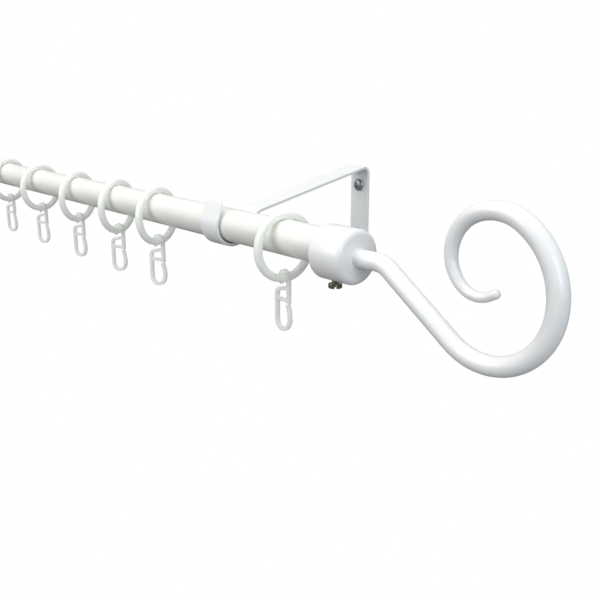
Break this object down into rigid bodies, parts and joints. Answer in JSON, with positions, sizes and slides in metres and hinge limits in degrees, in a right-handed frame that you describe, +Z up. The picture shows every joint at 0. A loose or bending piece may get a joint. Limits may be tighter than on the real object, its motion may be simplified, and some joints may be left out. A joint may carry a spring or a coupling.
{
  "type": "curtain rod",
  "caption": "Round curtain rod on two bent flat-bar wall brackets, with scroll finials on socket end caps and a row of rings that carry pleat hooks.",
  "frame": {"origin": "middle of the four wall screws, on the wall face", "axes": "+X along the rod, +Y into the wall, +Z up"},
  "size_m": [1.2464, 0.1437, 0.0908],
  "materials": {
    "white_coating": "satin white powder coating on steel",
    "screw_zinc": "zinc-plated steel",
    "set_screw_bronze": "dark bronzed steel, glossy",
    "ring_plastic": "moulded white plastic, satin",
    "hook_nylon": "moulded nylon, slightly translucent"
  },
  "bodies": {
    "brackets": {"wall_bracket_right": "white_coating", "wall_bracket_left": "white_coating", "wall_screws_right": "screw_zinc", "wall_screws_left": "screw_zinc"},
    "rod": {"rod_tube": "white_coating"},
    "finial_right": {"end_cap_right": "white_coating", "finial_scroll_right": "white_coating"},
    "finial_left": {"end_cap_left": "white_coating", "finial_scroll_left": "white_coating"},
    "set_screw_right": {"set_screw_right": "set_screw_bronze"},
    "set_screw_left": {"set_screw_left": "set_screw_bronze"},
    "ring_01": {"curtain_ring_01": "ring_plastic"},
    "hook_01": {"pleat_hook_01": "hook_nylon"},
    "ring_02": {"curtain_ring_02": "ring_plastic"},
    "hook_02": {"pleat_hook_02": "hook_nylon"},
    "ring_03": {"curtain_ring_03": "ring_plastic"},
    "hook_03": {"pleat_hook_03": "hook_nylon"},
    "ring_04": {"curtain_ring_04": "ring_plastic"},
    "hook_04": {"pleat_hook_04": "hook_nylon"},
    "ring_05": {"curtain_ring_05": "ring_plastic"},
    "hook_05": {"pleat_hook_05": "hook_nylon"},
    "ring_06": {"curtain_ring_06": "ring_plastic"},
    "hook_06": {"pleat_hook_06": "hook_nylon"},
    "ring_07": {"curtain_ring_07": "ring_plastic"},
    "hook_07": {"pleat_hook_07": "hook_nylon"},
    "ring_08": {"curtain_ring_08": "ring_plastic"},
    "hook_08": {"pleat_hook_08": "hook_nylon"},
    "ring_09": {"curtain_ring_09": "ring_plastic"},
    "hook_09": {"pleat_hook_09": "hook_nylon"},
    "ring_10": {"curtain_ring_10": "ring_plastic"},
    "hook_10": {"pleat_hook_10": "hook_nylon"},
    "ring_11": {"curtain_ring_11": "ring_plastic"},
    "hook_11": {"pleat_hook_11": "hook_nylon"},
    "ring_12": {"curtain_ring_12": "ring_plastic"},
    "hook_12": {"pleat_hook_12": "hook_nylon"}
  },
  "joints": [
    {"name": "rod_lift", "type": "slide", "parent": "brackets", "child": "rod", "axis": [0, 0.4226, 0.9063], "range_m": [0, 0.03]},
    {"name": "finial_right_pull", "type": "slide", "parent": "rod", "child": "finial_right", "axis": [1, 0, 0], "range_m": [0, 0.018]},
    {"name": "finial_left_pull", "type": "slide", "parent": "rod", "child": "finial_left", "axis": [-1, 0, 0], "range_m": [0, 0.018]},
    {"name": "set_screw_right_back_out", "type": "slide", "parent": "finial_right", "child": "set_screw_right", "axis": [0, 0, -1], "range_m": [0, 0.004]},
    {"name": "set_screw_left_back_out", "type": "slide", "parent": "finial_left", "child": "set_screw_left", "axis": [0, 0, -1], "range_m": [0, 0.004]},
    {"name": "ring_01_slide", "type": "slide", "parent": "rod", "child": "ring_01", "axis": [1, 0, 0], "range_m": [-0.038, 0.03]},
    {"name": "hook_01_swing", "type": "hinge", "parent": "ring_01", "child": "hook_01", "pos_m": [0.4478, -0.116, -0.02075], "axis": [0.0523, 0.9986, 0], "range_deg": [-45, 45]},
    {"name": "ring_02_slide", "type": "slide", "parent": "rod", "child": "ring_02", "axis": [1, 0, 0], "range_m": [-0.018, 0.018]},
    {"name": "hook_02_swing", "type": "hinge", "parent": "ring_02", "child": "hook_02", "pos_m": [0.31, -0.116, -0.02075], "axis": [-0.2924, 0.9563, 0], "range_deg": [-45, 45]},
    {"name": "ring_03_slide", "type": "slide", "parent": "rod", "child": "ring_03", "axis": [1, 0, 0], "range_m": [-0.018, 0.018]},
    {"name": "hook_03_swing", "type": "hinge", "parent": "ring_03", "child": "hook_03", "pos_m": [0.25281, -0.116, -0.02075], "axis": [-0.309, 0.9511, 0], "range_deg": [-45, 45]},
    {"name": "ring_04_slide", "type": "slide", "parent": "rod", "child": "ring_04", "axis": [1, 0, 0], "range_m": [-0.018, 0.018]},
    {"name": "hook_04_swing", "type": "hinge", "parent": "ring_04", "child": "hook_04", "pos_m": [0.18602, -0.116, -0.02075], "axis": [-0.2419, 0.9703, 0], "range_deg": [-45, 45]},
    {"name": "ring_05_slide", "type": "slide", "parent": "rod", "child": "ring_05", "axis": [1, 0, 0], "range_m": [-0.018, 0.018]},
    {"name": "hook_05_swing", "type": "hinge", "parent": "ring_05", "child": "hook_05", "pos_m": [0.11233, -0.116, -0.02075], "axis": [-0.2924, 0.9563, 0], "range_deg": [-45, 45]},
    {"name": "ring_06_slide", "type": "slide", "parent": "rod", "child": "ring_06", "axis": [1, 0, 0], "range_m": [-0.018, 0.018]},
    {"name": "hook_06_swing", "type": "hinge", "parent": "ring_06", "child": "hook_06", "pos_m": [0.03844, -0.116, -0.02075], "axis": [-0.2079, 0.9781, 0], "range_deg": [-45, 45]},
    {"name": "ring_07_slide", "type": "slide", "parent": "rod", "child": "ring_07", "axis": [1, 0, 0], "range_m": [-0.018, 0.018]},
    {"name": "hook_07_swing", "type": "hinge", "parent": "ring_07", "child": "hook_07", "pos_m": [-0.03644, -0.116, -0.02075], "axis": [-0.2079, 0.9781, 0], "range_deg": [-45, 45]},
    {"name": "ring_08_slide", "type": "slide", "parent": "rod", "child": "ring_08", "axis": [1, 0, 0], "range_m": [-0.018, 0.018]},
    {"name": "hook_08_swing", "type": "hinge", "parent": "ring_08", "child": "hook_08", "pos_m": [-0.10033, -0.116, -0.02075], "axis": [0.0175, 0.9998, 0], "range_deg": [-45, 45]},
    {"name": "ring_09_slide", "type": "slide", "parent": "rod", "child": "ring_09", "axis": [1, 0, 0], "range_m": [-0.018, 0.018]},
    {"name": "hook_09_swing", "type": "hinge", "parent": "ring_09", "child": "hook_09", "pos_m": [-0.16322, -0.116, -0.02075], "axis": [-0.2079, 0.9781, 0], "range_deg": [-45, 45]},
    {"name": "ring_10_slide", "type": "slide", "parent": "rod", "child": "ring_10", "axis": [1, 0, 0], "range_m": [-0.018, 0.018]},
    {"name": "hook_10_swing", "type": "hinge", "parent": "ring_10", "child": "hook_10", "pos_m": [-0.24511, -0.116, -0.02075], "axis": [-0.1045, 0.9945, 0], "range_deg": [-45, 45]},
    {"name": "ring_11_slide", "type": "slide", "parent": "rod", "child": "ring_11", "axis": [1, 0, 0], "range_m": [-0.018, 0.018]},
    {"name": "hook_11_swing", "type": "hinge", "parent": "ring_11", "child": "hook_11", "pos_m": [-0.304, -0.116, -0.02075], "axis": [0.2079, 0.9781, 0], "range_deg": [-45, 45]},
    {"name": "ring_12_slide", "type": "slide", "parent": "rod", "child": "ring_12", "axis": [1, 0, 0], "range_m": [-0.03, 0.038]},
    {"name": "hook_12_swing", "type": "hinge", "parent": "ring_12", "child": "hook_12", "pos_m": [-0.4478, -0.116, -0.02075], "axis": [0.1219, 0.9925, 0], "range_deg": [-45, 45]}
  ]
}
